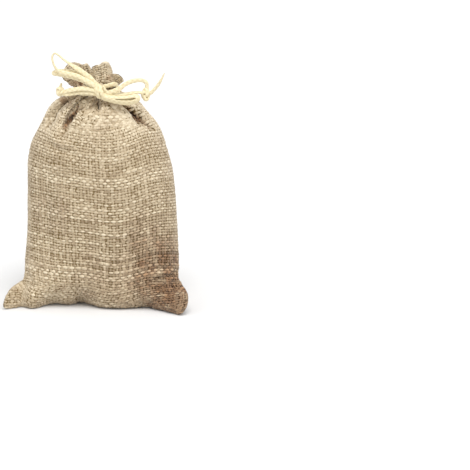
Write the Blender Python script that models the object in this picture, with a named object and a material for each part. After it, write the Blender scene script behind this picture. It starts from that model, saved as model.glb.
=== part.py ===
"""A small burlap sack, filled and tied shut, standing on its flat base.

The cloth is one strip folded at the bottom and sewn up both sides, so the
bottom fold stretches from one corner ear to the other. Its top is gathered by
two doubled cotton cords that are tied in a bow at the front of the neck.

Metres, +Z up. The origin is on the surface that the sack stands on. +X is the
sack's right side as seen from the front, and the front faces -Y. Tables are in
millimetres and degrees, and MM turns them into metres.
"""

import math

import bmesh
import bpy
import numpy as np

MM = 0.001

# ---------------------------------------------------------------- dimensions
FLAT_WIDTH = 100.0  # of the sack laid flat, side seam to side seam
FLAT_LENGTH = 150.0  # bottom fold to the top edge
AROUND = 88  # points round each section
BODY_STEPS = 29  # sections between the surface and the tie
FRILL_STEPS = 7  # sections between the tie and the frill's edge
TIE_Z = 113.5  # where the cords draw the neck in
EAR_HALF_THICKNESS = 1.4  # two layers of cloth and the seam between them
EAR_SWELL = 4.6  # how much thicker an ear is where it leaves the body
EAR_FORWARD = 25.4  # how far the corners reach in front of the middle
HEM_THICKNESS = 2.2  # of the frill's edge, a doubled hem
DIP = 3.0  # of the closed mouth below the frill's edge
CORD_DIAMETER = 1.9
CORD_SIDES = 2  # bevel_resolution, for 8 sides
CORD_SPACING = 4.4  # between points along a cord
GAP = 0.35  # between pieces that touch

# The filled body, from the surface up to the tie. left and right are half
# widths, front and back are half depths, and square is the exponent of the
# outline, where 2 is an ellipse.
BODY = (
    # z, left, right, front, back, square
    (0.0, 37.5, 37.8, 16.0, 17.0, 2.5),
    (2.2, 39.2, 39.2, 19.4, 19.8, 2.4),
    (6.0, 39.6, 40.0, 21.6, 21.6, 2.3),
    (12.0, 39.4, 40.2, 22.8, 22.6, 2.2),
    (24.0, 39.7, 40.1, 23.6, 23.2, 2.15),
    (31.0, 39.2, 39.4, 24.2, 23.8, 2.1),
    (42.0, 38.4, 38.7, 24.8, 25.0, 2.1),
    (54.0, 38.4, 38.1, 25.2, 25.8, 2.1),
    (66.0, 38.3, 37.0, 25.2, 25.9, 2.1),
    (75.0, 37.7, 35.4, 24.6, 25.2, 2.1),
    (83.0, 36.1, 33.1, 23.4, 23.8, 2.1),
    (90.0, 32.8, 30.7, 21.8, 22.2, 2.1),
    (96.0, 30.0, 27.8, 19.8, 20.4, 2.1),
    (101.5, 27.2, 24.0, 17.2, 17.8, 2.1),
    (105.0, 24.4, 20.9, 15.0, 15.6, 2.0),
    (108.0, 20.0, 17.6, 12.6, 13.2, 2.0),
    (110.2, 15.4, 13.6, 10.2, 10.6, 2.0),
    (111.6, 12.8, 11.4, 9.1, 9.3, 2.0),
    (TIE_Z, 12.2, 10.8, 8.8, 9.0, 2.0),
)

# Where the sections lie between the surface and the tie.
SPREAD = (
    # share of the steps, share of the height
    (0.0, 0.0),
    (0.036, 0.008),
    (0.11, 0.04),
    (0.5, 0.62),
    (0.72, 0.875),
    (0.9, 0.97),
    (1.0, 1.0),
)

# How far the two corner ears reach from the middle, by height.
EARS = (
    # z, left, right
    (0.0, 48.0, 48.4),
    (2.5, 49.5, 49.6),
    (6.0, 49.6, 49.6),
    (9.5, 48.2, 48.8),
    (12.5, 45.8, 46.6),
    (15.5, 42.2, 43.0),
    (19.0, 37.0, 38.0),
    (26.0, 24.0, 24.0),
    (40.0, 0.1, 0.1),
)

# How much of the ears' forward reach is left, by height.
FORWARD = (
    # z, share
    (0.0, 1.0),
    (8.0, 0.94),
    (16.0, 0.66),
    (26.0, 0.28),
    (40.0, 0.06),
    (60.0, 0.0),
)

# The frill above the tie, as shares of the way from the tie to its edge.
FRILL = (
    # share, left, right, front, back, square
    (0.0, 12.2, 10.8, 8.8, 9.0, 2.0),
    (0.3, 12.8, 11.0, 9.0, 9.3, 2.0),
    (0.6, 17.4, 12.0, 10.2, 11.2, 2.0),
    (0.85, 20.2, 12.8, 10.8, 12.2, 2.0),
    (1.0, 19.8, 12.4, 10.2, 11.8, 2.0),
)

# Height of the frill's edge round the mouth. 0 degrees is the right side
# seam, -90 the middle of the front, 180 the left side seam.
EDGE = (
    # angle, z
    (-180.0, 118.6),
    (-160.0, 119.8),
    (-140.0, 125.2),
    (-122.0, 126.0),
    (-108.0, 122.2),
    (-98.0, 119.4),
    (-88.0, 124.4),
    (-74.0, 127.0),
    (-58.0, 126.0),
    (-44.0, 120.8),
    (-28.0, 121.6),
    (-10.0, 118.4),
    (12.0, 121.0),
    (34.0, 119.6),
    (58.0, 123.2),
    (80.0, 120.6),
    (104.0, 123.8),
    (128.0, 120.4),
    (152.0, 122.6),
)

# The pleats that the cords gather, as grooves. Each runs from `low` on the
# body, where it dies out, up over the tie and on into the frill.
PLEATS = (
    # at the tie, at its low end, half width, depth, low z, depth in the frill
    (-150.0, -146.0, 8.0, 1.8, 87.0, 2.6),
    (-113.0, -130.0, 8.0, 3.2, 83.0, 2.4),
    (-96.0, -93.0, 6.0, 2.2, 99.0, 3.4),
    (-64.0, -38.0, 8.0, 3.2, 84.0, 1.8),
    (-38.0, -18.0, 7.0, 1.6, 92.0, 2.6),
    (-10.0, -4.0, 8.0, 1.8, 88.0, 2.2),
    (20.0, 16.0, 8.0, 2.2, 84.0, 2.4),
    (46.0, 42.0, 8.0, 2.0, 90.0, 2.4),
    (70.0, 68.0, 8.0, 2.6, 80.0, 2.4),
    (93.0, 92.0, 8.0, 1.8, 92.0, 2.6),
    (117.0, 122.0, 8.0, 2.6, 82.0, 2.4),
    (141.0, 146.0, 8.0, 2.0, 90.0, 2.4),
    (170.0, 168.0, 8.0, 2.0, 86.0, 2.2),
)

# The channel runs come out of the side seams and lie round the neck, from one
# angle to the other.
CHANNEL_RUNS = (
    # name, height, from, to
    ("channel_run_left_a", 114.5, 184.0, 258.5),
    ("channel_run_left_b", 112.2, 184.0, 258.5),
    ("channel_run_right_a", 114.5, -4.0, -65.0),
    ("channel_run_right_b", 112.2, -4.0, -66.0),
)
NEARBY = 12.0  # degrees each way that a run looks for cloth to stay clear of

# The knots: where the middle is, the size, and the lean to one side.
KNOTS = (
    ("bow_knot", (1.3, -13.6, 115.1), (5.0, 4.4, 8.0), 6.0),
    ("end_knot_left", (-19.9, -14.4, 114.1), (3.6, 4.2, 5.6), 0.0),
    ("end_knot_right", (24.9, -14.2, 113.8), (4.6, 4.4, 6.6), -6.0),
)

# The rest of the cords, as the points that each one's middle line passes
# through. The bow knot sits between the stretches, so each stops beside it.
CORDS = {
    "bow_loop_left_a": (
        (-2.7, -14.6, 121.4), (-6.9, -15.2, 126.4), (-13.7, -15.3, 129.8), (-17.9, -15.2, 132.6),
        (-21.4, -15.0, 134.7), (-24.4, -15.0, 134.8), (-25.4, -15.2, 132.2), (-24.4, -15.8, 129.6),
        (-21.4, -16.6, 126.6), (-16.2, -17.0, 125.0), (-9.3, -17.2, 123.0), (-3.0, -16.8, 119.1),
    ),
    "bow_loop_left_b": (
        (-2.7, -12.8, 118.8), (-7.0, -12.9, 123.2), (-13.4, -13.0, 126.2), (-19.2, -13.2, 126.0),
        (-24.4, -13.6, 125.2), (-26.2, -14.0, 123.4), (-24.2, -14.3, 121.8), (-18.5, -14.4, 121.2),
        (-9.6, -14.4, 119.4), (-2.8, -14.2, 116.7),
    ),
    "bow_loop_right_a": (
        (4.7, -15.8, 111.2), (8.9, -16.6, 110.2), (14.3, -17.2, 109.2), (19.0, -17.4, 109.6),
        (21.5, -17.4, 111.7), (18.4, -17.2, 113.7), (10.5, -16.9, 113.5), (4.8, -16.2, 113.9),
    ),
    "bow_loop_right_b": (
        (4.8, -13.6, 109.5), (9.0, -14.4, 108.5), (14.0, -14.8, 107.6), (18.4, -14.9, 108.3),
        (20.2, -14.9, 110.4), (17.0, -14.8, 112.0), (11.0, -14.5, 111.6), (5.2, -13.8, 112.1),
    ),
    "free_end_left_a": ((-2.4, -16.4, 115.7), (-7.0, -16.5, 115.9), (-12.0, -15.9, 115.7), (-17.6, -14.9, 115.2)),
    "free_end_left_b": ((-2.2, -15.9, 113.2), (-7.0, -15.8, 113.1), (-12.0, -15.1, 112.9), (-17.6, -14.5, 112.8)),
    "free_end_right_a": ((4.9, -12.9, 115.0), (10.1, -12.9, 114.1), (16.3, -13.0, 114.1), (22.0, -13.6, 114.5)),
    "free_end_right_b": (
        (4.5, -14.6, 117.2), (8.8, -15.2, 118.2), (13.5, -15.0, 120.8), (19.2, -14.8, 122.6),
        (24.0, -14.6, 122.4), (26.4, -14.4, 120.4), (26.0, -14.2, 117.7),
    ),
    "tail_left": ((-20.2, -13.9, 117.4), (-20.6, -13.0, 118.4), (-20.4, -12.0, 119.2)),
    "tail_right": ((28.4, -13.9, 114.2), (30.4, -13.5, 117.4), (32.2, -13.1, 121.0), (34.2, -12.7, 125.0)),
}


# ------------------------------------------------------------------- helpers
def smooth(rows, at, period=None):
    """Each column of a table read at `at`, without overshoot between rows."""
    rows = np.array(rows, float)
    if period:
        before, after = rows[-3:].copy(), rows[:3].copy()
        before[:, 0] -= period
        after[:, 0] += period
        rows = np.concatenate([before, rows, after])
    x, y = rows[:, 0], rows[:, 1:]
    h = np.diff(x)[:, None]
    slope = np.diff(y, axis=0) / h
    m = np.zeros_like(y)
    m[0], m[-1] = slope[0], slope[-1]
    both = slope[:-1] * slope[1:] > 0
    w1, w2 = 2 * h[1:] + h[:-1], h[1:] + 2 * h[:-1]
    mean = (w1 + w2) / (
        w1 / np.where(both, slope[:-1], 1) + w2 / np.where(both, slope[1:], 1)
    )
    m[1:-1] = np.where(both, mean, 0)
    at = np.atleast_1d(np.asarray(at, float))
    i = np.clip(np.searchsorted(x, at, side="right") - 1, 0, len(x) - 2)
    t = np.clip((at - x[i]) / h[i, 0], 0, 1)[:, None]
    return (
        y[i] * (1 + 2 * t) * (1 - t) ** 2
        + m[i] * h[i] * t * (1 - t) ** 2
        + y[i + 1] * t * t * (3 - 2 * t)
        + m[i + 1] * h[i] * t * t * (t - 1)
    )


def ease(t):
    t = np.clip(t, 0, 1)
    return t * t * (3 - 2 * t)


def angle_between(a, b):
    return (a - b + 180.0) % 360.0 - 180.0


ANGLES = np.arange(AROUND) * 360.0 / AROUND


def outline(left, right, reach_left, reach_right, front, back, square):
    """A section of the sack: the filled outline, with the thin ears past it."""
    a = np.radians(ANGLES)
    c, s = np.cos(a), np.sin(a)
    half = np.where(c >= 0, right, left)
    reach = np.where(c >= 0, reach_right, reach_left)
    x_all = (half**14 + reach**14) ** (1 / 14)
    x = x_all * c
    inside = np.clip(1 - np.abs(x / half) ** square, 0, None) ** (1 / square)
    depth = np.where(s >= 0, back, front)
    inner = ease((1 - np.abs(c)) / 0.24)
    flap = (EAR_HALF_THICKNESS + EAR_SWELL * inner) * np.sqrt(np.clip(1 - (x / x_all) ** 6, 0, None))
    flap *= np.clip(reach / half, 0, 1) ** 2
    y = np.sign(np.round(s, 9)) * np.hypot(depth * inside, flap)
    return x, y


def pleated(x, y, z_of_pleats, in_frill):
    """The section with its pleats pressed in towards the middle."""
    shrink = np.zeros(AROUND)
    for top, low_angle, half_width, depth, low, frill_depth in PLEATS:
        if in_frill is None:
            share = ease((z_of_pleats - low) / (TIE_Z - low))
            middle = low_angle + (top - low_angle) * share
            amount = depth * share ** 0.8
        else:
            middle = top
            amount = depth + (frill_depth - depth) * in_frill
        near = angle_between(ANGLES, middle) / half_width
        shrink += amount * np.exp(-near * near)
    radius = np.hypot(x, y)
    keep = np.maximum(radius - shrink, 0.35 * radius) / np.maximum(radius, 1e-6)
    return x * keep, y * keep


def body_section(z):
    left, right, front, back, square = smooth(BODY, z)[0]
    reach_left, reach_right = smooth(EARS, z)[0]
    x, y = outline(left, right, reach_left, reach_right, front, back, square)
    x, y = pleated(x, y, z, None)
    share = smooth(FORWARD, z)[0, 0]
    y = y - EAR_FORWARD * share * (np.abs(x) / 49.0) ** 2.2
    return np.column_stack([x, y, np.full(AROUND, z)])


def frill_section(share, edge):
    left, right, front, back, square = smooth(FRILL, share)[0]
    x, y = outline(left, right, 0.01, 0.01, front, back, square)
    x, y = pleated(x, y, TIE_Z, share)
    return np.column_stack([x, y, TIE_Z + (edge - TIE_Z) * share])


def sack_sections():
    # Closest together where the shape turns fastest, at the base and the neck.
    steps = np.linspace(0.0, 1.0, BODY_STEPS)
    heights = TIE_Z * smooth(SPREAD, steps)[:, 0]
    rings = [body_section(z) for z in heights]
    edge = smooth(EDGE, ANGLES - 360.0 * (ANGLES > 170.0), period=360.0)[:, 0]
    for i in range(1, FRILL_STEPS + 1):
        rings.append(frill_section(i / FRILL_STEPS, edge))
    rim = rings[-1]
    middle = rim.mean(axis=0)
    radius = np.hypot(rim[:, 0] - middle[0], rim[:, 1] - middle[1])
    floor = edge.min() - DIP
    for inward, drop in ((HEM_THICKNESS, 0.25), (2.4 * HEM_THICKNESS, 0.8), (3.4 * HEM_THICKNESS, 1.0)):
        keep = np.maximum(1 - inward / radius, 0.12)
        ring = rim.copy()
        ring[:, 0] = middle[0] + (rim[:, 0] - middle[0]) * keep
        ring[:, 1] = middle[1] + (rim[:, 1] - middle[1]) * keep
        ring[:, 2] = rim[:, 2] + (floor - rim[:, 2]) * drop
        rings.append(ring)
    return rings


def principled(name, colour, roughness):
    material = bpy.data.materials.new(name)
    material.use_nodes = True
    shader = material.node_tree.nodes["Principled BSDF"]
    shader.inputs["Base Color"].default_value = (*colour, 1.0)
    shader.inputs["Roughness"].default_value = roughness
    shader.inputs["Metallic"].default_value = 0.0
    return material


def ladder(bm, ring, up):
    """Closes a section with flat faces across it, from front to back."""
    half = AROUND // 2
    for i in range(half):
        corners = [ring[i], ring[i + 1], ring[(AROUND - i - 1) % AROUND], ring[(AROUND - i) % AROUND]]
        unique = [v for n, v in enumerate(corners) if v not in corners[:n]]
        bm.faces.new(unique if up else unique[::-1])


def build_sack(collection, material):
    bm = bmesh.new()
    rings = [[bm.verts.new(p * MM) for p in ring] for ring in sack_sections()]
    for low, high in zip(rings, rings[1:]):
        for i in range(AROUND):
            j = (i + 1) % AROUND
            bm.faces.new((low[i], low[j], high[j], high[i]))
    ladder(bm, rings[0], up=False)
    ladder(bm, rings[-1], up=True)
    mesh = bpy.data.meshes.new("sack")
    bm.to_mesh(mesh)
    bm.free()
    mesh.shade_smooth()
    mesh.set_sharp_from_angle(angle=math.radians(50))
    mesh.materials.append(material)
    sack = bpy.data.objects.new("sack", mesh)
    collection.objects.link(sack)
    return sack


def channel_run(cloth, height, start, stop):
    """Points round the neck, clear of the cloth beside them."""
    reach = CORD_DIAMETER / 2 + GAP
    beside = cloth[np.abs(cloth[:, 2] - height) < reach]
    angle_of = np.degrees(np.arctan2(beside[:, 1], beside[:, 0]))
    radius = np.hypot(beside[:, 0], beside[:, 1])
    points = []
    for angle in np.linspace(start, stop, 7):
        near = np.abs(angle_between(angle_of, angle)) < NEARBY
        out = radius[near].max() + reach
        points.append((out * math.cos(math.radians(angle)), out * math.sin(math.radians(angle)), height))
    return points


def through(points, spacing):
    """Points `spacing` apart on a smooth curve through the route's points."""
    p = np.array(points, float)
    p = np.concatenate([[2 * p[0] - p[1]], p, [2 * p[-1] - p[-2]]])
    fine = []
    for a, b, c, d in zip(p, p[1:], p[2:], p[3:]):
        for t in np.linspace(0, 1, 16, endpoint=False):
            fine.append(
                0.5
                * (
                    2 * b
                    + (c - a) * t
                    + (2 * a - 5 * b + 4 * c - d) * t * t
                    + (3 * b - a - 3 * c + d) * t**3
                )
            )
    fine.append(p[-2])
    fine = np.array(fine)
    run = np.concatenate([[0], np.cumsum(np.linalg.norm(np.diff(fine, axis=0), axis=1))])
    count = max(4, int(round(run[-1] / spacing)) + 1)
    at = np.linspace(0, run[-1], count)
    return np.column_stack([np.interp(at, run, fine[:, k]) for k in range(3)])


def build_cord(collection, name, points, material):
    route = through(points, CORD_SPACING * 0.62)
    curve = bpy.data.curves.new(name, "CURVE")
    curve.dimensions = "3D"
    curve.bevel_depth = CORD_DIAMETER / 2 * MM
    curve.bevel_resolution = CORD_SIDES
    curve.use_fill_caps = True
    spline = curve.splines.new("POLY")
    spline.points.add(len(route) - 1)
    for point, place in zip(spline.points, route):
        point.co = (*(place * MM), 1.0)
    curve.materials.append(material)
    cord = bpy.data.objects.new(name, curve)
    collection.objects.link(cord)
    return cord


def build_knot(collection, name, middle, size, lean, material):
    """A pulled-tight knot: a rounded lump with two turns of cord standing out."""
    bm = bmesh.new()
    bmesh.ops.create_uvsphere(bm, u_segments=14, v_segments=9, radius=0.5)
    for vert in bm.verts:
        x, y, z = vert.co
        swell = 1.0 - 0.07 * math.cos(4 * math.pi * z + math.atan2(y, x))
        vert.co = (x * size[0] * swell * MM, y * size[1] * swell * MM, z * size[2] * MM)
    mesh = bpy.data.meshes.new(name)
    bm.to_mesh(mesh)
    bm.free()
    mesh.shade_smooth()
    mesh.materials.append(material)
    knot = bpy.data.objects.new(name, mesh)
    knot.location = [c * MM for c in middle]
    knot.rotation_euler = (0.0, math.radians(lean), 0.0)
    collection.objects.link(knot)
    return knot


# --------------------------------------------------------------------- model
for old in list(bpy.data.objects):
    bpy.data.objects.remove(old, do_unlink=True)

parts = bpy.data.collections.new("burlap_sack")
bpy.context.scene.collection.children.link(parts)

burlap = principled("burlap", (0.60, 0.47, 0.32), 0.95)
cotton = principled("cotton_cord", (0.83, 0.74, 0.54), 0.85)

build_sack(parts, burlap)
cloth_points = np.concatenate(sack_sections())
for run_name, height, start, stop in CHANNEL_RUNS:
    build_cord(parts, run_name, channel_run(cloth_points, height, start, stop), cotton)
for cord_name, route_points in CORDS.items():
    build_cord(parts, cord_name, route_points, cotton)
for knot_name, middle, size, lean in KNOTS:
    build_knot(parts, knot_name, middle, size, lean, cotton)
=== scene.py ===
import math

import bpy
import numpy as np
from mathutils import Euler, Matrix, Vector


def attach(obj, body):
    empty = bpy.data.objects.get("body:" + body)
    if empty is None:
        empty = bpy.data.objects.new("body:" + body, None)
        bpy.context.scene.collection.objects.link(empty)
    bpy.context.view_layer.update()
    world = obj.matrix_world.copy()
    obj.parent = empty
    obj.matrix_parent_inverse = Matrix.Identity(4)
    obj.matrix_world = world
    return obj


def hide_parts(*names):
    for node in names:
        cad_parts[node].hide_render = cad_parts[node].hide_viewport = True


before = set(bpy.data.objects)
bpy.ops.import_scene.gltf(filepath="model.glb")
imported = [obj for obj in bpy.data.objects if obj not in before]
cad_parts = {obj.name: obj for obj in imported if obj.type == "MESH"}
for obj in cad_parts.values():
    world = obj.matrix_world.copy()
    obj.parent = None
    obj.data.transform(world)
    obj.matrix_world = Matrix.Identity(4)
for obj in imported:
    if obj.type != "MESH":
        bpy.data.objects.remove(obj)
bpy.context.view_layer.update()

MM = 0.001

# ------------------------------------------------------------------ the frame
# The picture is 470 pixels square, and 0.52 mm of the sack covers a pixel.
SIDE, PIXEL_MM = 470.0, 0.52
AZIMUTH, ELEVATION = math.radians(7.0), math.radians(14.0)
DISTANCE = 1.25
MIDDLE = Vector((0.0, 0.0, 0.062))
MIDDLE_AT = (101.8, 183.7)  # where MIDDLE falls in the picture


def make_camera():
    camera = bpy.data.cameras.new("camera")
    camera.sensor_width = 36.0
    shown = bpy.data.objects.new("camera", camera)
    bpy.context.scene.collection.objects.link(shown)
    back = Vector(
        (
            math.sin(AZIMUTH) * math.cos(ELEVATION),
            -math.cos(AZIMUTH) * math.cos(ELEVATION),
            math.sin(ELEVATION),
        )
    )
    shown.location = MIDDLE + back * DISTANCE
    x = MIDDLE_AT[0] - SIDE / 2
    y = SIDE / 2 - MIDDLE_AT[1]
    focal = DISTANCE / (PIXEL_MM * MM)  # in pixels, along the ray to MIDDLE
    for _ in range(20):
        depth = focal / math.sqrt(focal * focal + x * x + y * y)
        focal = DISTANCE * depth / (PIXEL_MM * MM)
    camera.lens = 36.0 * focal / SIDE
    yaw, pitch = AZIMUTH, -ELEVATION
    for _ in range(30):
        turn = Euler((math.pi / 2 + pitch, 0.0, yaw)).to_matrix()
        local = turn.transposed() @ (-back)
        px, py = -local.x / local.z * focal, -local.y / local.z * focal
        yaw += math.atan((px - x) / focal) * -1.0
        pitch += math.atan((py - y) / focal)
    shown.rotation_euler = (math.pi / 2 + pitch, 0.0, yaw)
    camera.clip_start, camera.clip_end = 0.05, 60.0
    bpy.context.scene.camera = shown
    return shown


make_camera()

# ---------------------------------------------------------------------- cords
# Two flat cotton cords run in the neck's channel. Both ends of one leave it at
# each side, pass round the neck's front, and are tied there in a bow. Each row
# is a point of a cord's route, in millimetres.
CORD_LEFT_A = (
    # x, y, z, width, turn of the flat side from the front
    (-8.5, 0.6, 114.0, 1.9, 0.0),
    (-10.8, -2.0, 113.9, 1.9, 0.0),
    (-11.4, -4.4, 113.9, 1.9, 0.0),
    (-10.4, -6.4, 113.8, 1.9, 0.0),
    (-8.9, -8.1, 113.8, 1.9, 0.0),
    (-6.6, -9.4, 113.7, 1.9, 0.0),
    (-4.2, -9.4, 113.7, 1.9, 0.0),
    (-1.3, -10.8, 113.7, 1.9, 0.0),
    (1.6, -12.8, 114.0, 1.9, 0.0),
    (2.4, -14.1, 115.2, 1.9, 0.0),
    (0.5, -14.7, 116.9, 2.2, 0.0),
    (-1.4, -15.3, 119.0, 2.6, 0.0),
    (-4.1, -15.5, 121.6, 2.9, 0.0),
    (-8.0, -15.6, 124.7, 2.6, 5.0),
    (-12.9, -15.5, 127.9, 2.0, 45.0),
    (-16.5, -15.4, 130.3, 1.9, 80.0),
    (-19.5, -15.3, 132.8, 1.9, 88.0),
    (-21.2, -15.3, 133.5, 1.9, 88.0),
    (-22.3, -15.4, 132.1, 1.9, 88.0),
    (-22.3, -15.7, 130.0, 1.9, 88.0),
    (-21.3, -16.2, 127.2, 1.9, 78.0),
    (-19.8, -16.8, 125.2, 2.0, 45.0),
    (-17.3, -17.2, 124.1, 2.2, 10.0),
    (-13.8, -17.4, 123.5, 2.3, 7.0),
    (-9.0, -17.5, 122.2, 2.3, 3.0),
    (-4.4, -17.3, 119.7, 2.4, 0.0),
    (-0.9, -16.5, 117.2, 2.1, 0.0),
    (0.5, -15.3, 114.8, 1.9, 0.0),
    (1.6, -14.6, 113.2, 1.9, 0.0),
    (-0.2, -16.1, 114.3, 1.8, 0.0),
    (-3.4, -16.6, 115.4, 2.2, 2.0),
    (-7.5, -16.8, 115.8, 2.2, 5.0),
    (-11.4, -16.5, 115.2, 2.2, 8.0),
    (-14.9, -15.6, 114.3, 2.1, 10.0),
    (-17.0, -15.0, 113.5, 2.1, 17.0),
    (-19.1, -14.4, 114.3, 1.7, 23.0),
    (-18.7, -14.0, 115.9, 1.6, 30.0),
    (-18.2, -13.2, 117.8, 1.2, 60.0),
)
CORD_LEFT_B = (
    # x, y, z, width, turn of the flat side from the front
    (-8.0, 0.6, 111.8, 1.9, 0.0),
    (-10.4, -2.2, 111.7, 1.9, 0.0),
    (-11.0, -5.0, 111.6, 1.9, 0.0),
    (-9.8, -7.8, 111.5, 1.9, 0.0),
    (-7.3, -9.8, 111.5, 1.9, 0.0),
    (-4.6, -9.6, 111.5, 1.9, 0.0),
    (-1.7, -11.0, 111.8, 1.9, 0.0),
    (1.4, -12.8, 112.5, 1.9, 0.0),
    (2.6, -13.6, 114.4, 1.9, 0.0),
    (0.7, -13.9, 116.2, 2.2, 0.0),
    (-1.6, -13.7, 117.4, 2.5, 0.0),
    (-5.4, -13.6, 120.4, 2.5, 0.0),
    (-9.5, -13.5, 122.6, 2.6, 0.0),
    (-13.6, -13.5, 123.8, 2.4, 0.0),
    (-17.0, -13.5, 124.1, 2.1, 0.0),
    (-20.4, -13.8, 123.8, 2.0, 10.0),
    (-22.1, -14.1, 123.4, 1.9, 20.0),
    (-22.3, -14.5, 122.9, 1.9, 25.0),
    (-20.5, -14.8, 122.5, 1.8, 30.0),
    (-17.2, -15.1, 122.2, 1.8, 20.0),
    (-14.0, -15.3, 121.6, 1.8, 10.0),
    (-10.2, -15.6, 120.7, 1.8, 5.0),
    (-5.7, -15.7, 118.9, 2.0, 0.0),
    (-1.6, -15.5, 116.3, 2.1, 0.0),
    (0.1, -14.4, 113.6, 2.1, 0.0),
    (1.4, -13.8, 112.3, 2.0, 0.0),
    (-0.3, -15.6, 112.8, 1.9, 0.0),
    (-3.5, -16.1, 113.5, 1.9, 0.0),
    (-7.6, -16.1, 113.6, 2.1, 0.0),
    (-11.5, -15.8, 113.1, 2.1, 0.0),
    (-15.0, -15.2, 112.5, 2.1, 0.0),
    (-17.1, -14.7, 112.7, 2.1, 0.0),
    (-18.7, -14.2, 112.9, 1.9, 0.0),
)
CORD_RIGHT_A = (
    # x, y, z, width, turn of the flat side from the front
    (7.6, 0.6, 111.7, 1.9, 0.0),
    (9.4, -2.2, 111.6, 1.9, 0.0),
    (10.2, -4.8, 111.5, 1.9, 0.0),
    (9.0, -7.4, 111.5, 1.9, 0.0),
    (6.7, -9.4, 111.4, 1.9, 0.0),
    (4.3, -10.6, 111.6, 1.9, 0.0),
    (1.6, -12.4, 111.9, 1.9, 0.0),
    (0.5, -13.6, 113.1, 1.9, 0.0),
    (1.8, -14.8, 113.0, 2.0, 0.0),
    (4.9, -15.9, 111.7, 2.2, 0.0),
    (8.3, -16.7, 111.5, 2.3, 0.0),
    (12.5, -17.2, 111.6, 2.3, 0.0),
    (16.6, -17.3, 112.0, 2.4, 0.0),
    (19.6, -17.2, 112.5, 2.4, 5.0),
    (21.3, -17.2, 111.7, 2.4, 10.0),
    (20.8, -17.3, 110.2, 2.8, 5.0),
    (18.0, -17.4, 109.1, 3.3, 0.0),
    (14.5, -17.3, 108.8, 3.7, 0.0),
    (10.3, -16.9, 109.2, 3.5, 0.0),
    (6.1, -16.1, 110.0, 3.1, 0.0),
    (3.0, -15.2, 110.6, 2.6, 0.0),
    (1.0, -14.2, 111.7, 2.2, 0.0),
    (1.6, -13.4, 113.3, 2.0, 0.0),
    (4.5, -14.4, 112.9, 2.2, 0.0),
    (8.0, -14.3, 112.4, 2.5, 0.0),
    (12.1, -14.1, 112.4, 2.7, 0.0),
    (16.2, -14.1, 113.0, 2.7, 0.0),
    (19.7, -14.2, 113.6, 2.6, 0.0),
    (22.4, -14.3, 113.6, 2.2, 0.0),
    (24.1, -14.3, 112.4, 1.8, 0.0),
)
CORD_RIGHT_B = (
    # x, y, z, width, turn of the flat side from the front
    (7.2, 0.6, 113.9, 1.9, 0.0),
    (9.2, -1.5, 113.9, 1.9, 0.0),
    (9.2, -4.2, 114.8, 1.9, 0.0),
    (8.8, -6.7, 116.0, 2.2, 0.0),
    (7.5, -8.4, 116.5, 2.4, 0.0),
    (5.6, -9.3, 116.1, 2.4, 0.0),
    (3.6, -10.2, 115.7, 2.3, 0.0),
    (2.0, -11.6, 115.2, 2.0, 0.0),
    (0.6, -12.8, 114.8, 1.9, 0.0),
    (2.2, -13.9, 115.6, 1.9, 0.0),
    (4.7, -14.2, 110.3, 2.0, 0.0),
    (8.1, -15.3, 110.4, 2.2, 0.0),
    (12.2, -16.0, 110.6, 2.4, 0.0),
    (15.8, -16.2, 110.9, 2.4, 0.0),
    (18.2, -16.1, 110.9, 2.3, 0.0),
    (18.8, -15.8, 110.0, 2.3, 0.0),
    (16.9, -15.7, 109.2, 2.4, 0.0),
    (13.3, -15.5, 109.2, 2.3, 0.0),
    (9.2, -15.0, 109.5, 2.1, 0.0),
    (5.4, -14.2, 109.8, 2.0, 0.0),
    (2.8, -13.8, 111.6, 2.0, 0.0),
    (1.6, -13.2, 114.2, 1.9, 0.0),
    (2.8, -13.9, 115.8, 1.9, 0.0),
    (5.0, -14.9, 113.6, 2.2, 0.0),
    (8.1, -15.4, 114.2, 2.5, 0.0),
    (11.3, -15.6, 115.6, 2.6, 5.0),
    (14.4, -15.5, 117.9, 2.2, 10.0),
    (17.4, -15.3, 119.4, 2.1, 12.0),
    (20.4, -15.2, 120.1, 2.1, 13.0),
    (23.2, -15.1, 120.1, 2.1, 15.0),
    (25.2, -15.0, 119.0, 2.1, 18.0),
    (25.6, -14.9, 117.2, 2.1, 20.0),
    (25.3, -14.6, 114.9, 1.9, 10.0),
    (24.4, -14.3, 113.6, 1.9, 10.0),
    (26.8, -14.2, 113.1, 1.9, 10.0),
    (29.0, -14.1, 115.0, 1.9, 20.0),
    (31.2, -13.7, 117.6, 1.9, 30.0),
    (33.0, -13.4, 120.6, 1.5, 42.0),
    (34.4, -13.0, 123.6, 1.1, 55.0),
)

TAU = 2 * math.pi


def make_mesh(name, verts, faces):
    mesh = bpy.data.meshes.new(name)
    faces = np.asarray(faces, np.int32)
    mesh.vertices.add(len(verts))
    mesh.vertices.foreach_set("co", np.asarray(verts, np.float32).ravel())
    n, k = faces.shape
    mesh.loops.add(n * k)
    mesh.loops.foreach_set("vertex_index", faces.ravel())
    mesh.polygons.add(n)
    mesh.polygons.foreach_set("loop_start", np.arange(n, dtype=np.int32) * k)
    mesh.polygons.foreach_set("loop_total", np.full(n, k, np.int32))
    mesh.update(calc_edges=True)
    mesh.shade_smooth()
    obj = bpy.data.objects.new(name, mesh)
    bpy.context.scene.collection.objects.link(obj)
    return obj


def unit(a):
    return a / np.maximum(np.linalg.norm(a, axis=-1, keepdims=True), 1e-9)


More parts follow.
